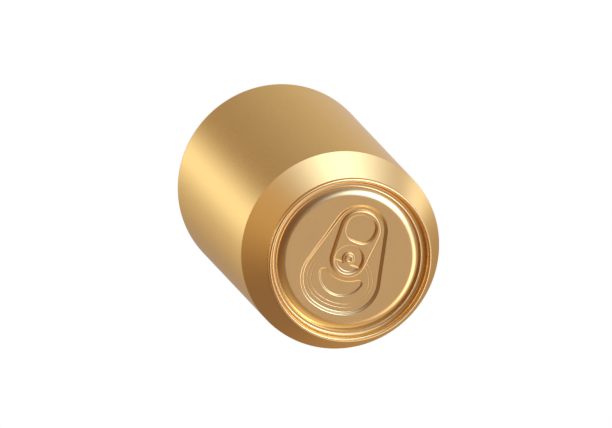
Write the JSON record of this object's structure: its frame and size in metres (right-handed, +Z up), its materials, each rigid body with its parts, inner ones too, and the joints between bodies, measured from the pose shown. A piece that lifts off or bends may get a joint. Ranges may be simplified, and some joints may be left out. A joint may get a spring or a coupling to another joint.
{
  "type": "soda can",
  "caption": "Shut aluminium drink can, gold, with a necked body, a double-seamed end and a ring pull riveted to its recessed panel.",
  "frame": {"origin": "middle of the ring the can stands on, at floor level", "axes": "+Z up along the can's axis; the pouring side of the lid faces -Y and the finger end of the ring pull lies towards +Y"},
  "size_m": [0.0662, 0.0662, 0.1152],
  "materials": {
    "body_gold": "satin gold lacquer over drawn aluminium",
    "end_gold": "gold lacquered pressed end, satin on the panel and bright on the seam",
    "tab_gold": "gold lacquered strip, satin"
  },
  "bodies": {
    "root": {"can_body": "body_gold", "lid": "end_gold", "tab": "tab_gold"}
  },
  "joints": []
}
